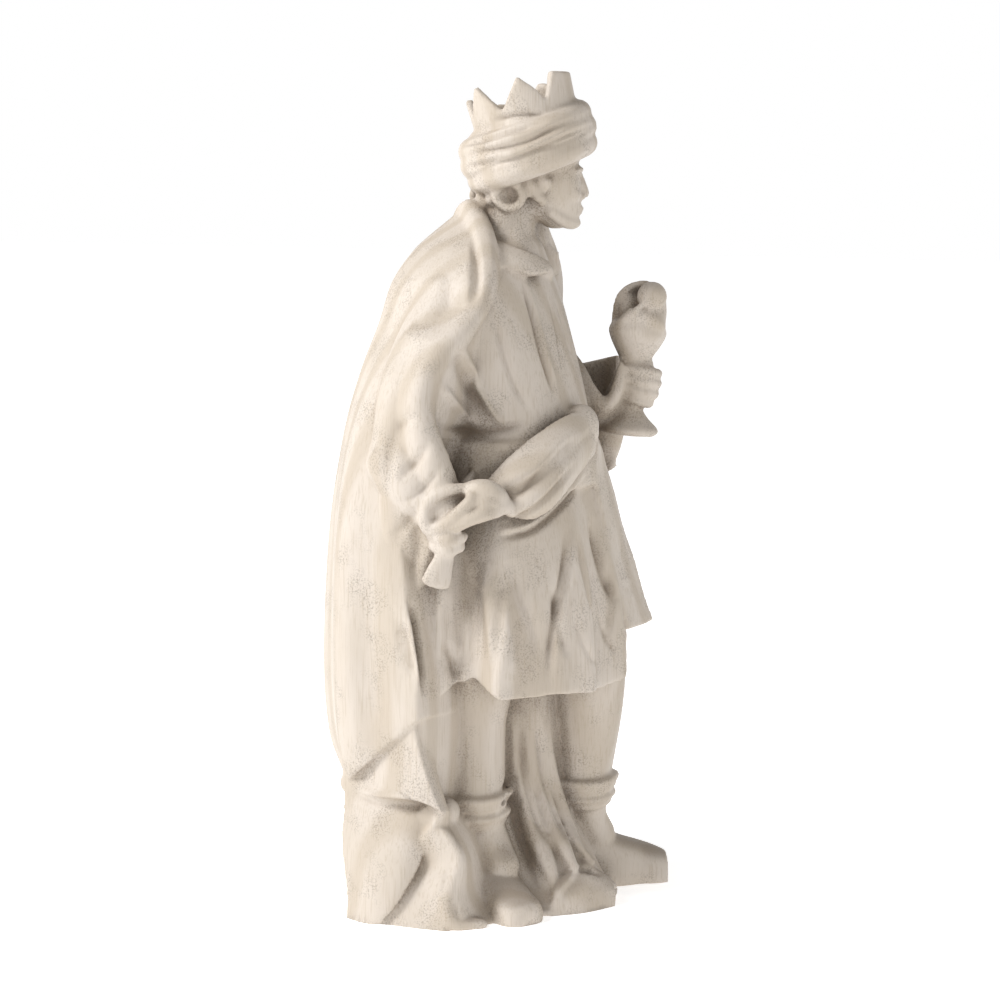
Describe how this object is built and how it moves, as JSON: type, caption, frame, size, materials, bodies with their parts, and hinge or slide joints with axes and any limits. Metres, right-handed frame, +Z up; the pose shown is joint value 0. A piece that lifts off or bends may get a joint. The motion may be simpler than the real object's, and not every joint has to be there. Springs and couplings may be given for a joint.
{
  "type": "nativity wise man figurine",
  "caption": "Standing carved figurine of a robed king with turban, crown and long cape, holding up a lidded shell cup in one hand and a gathered sash in the other.",
  "frame": {"origin": "on the ground under the middle of the figurine's outline", "axes": "+Z up; the figurine faces -Y, and its right hand is on the -X side"},
  "size_m": [0.0678, 0.0588, 0.16],
  "materials": {
    "maple": "satin, natural pale maple"
  },
  "bodies": {
    "root": {"wise_man": "maple"}
  },
  "joints": []
}
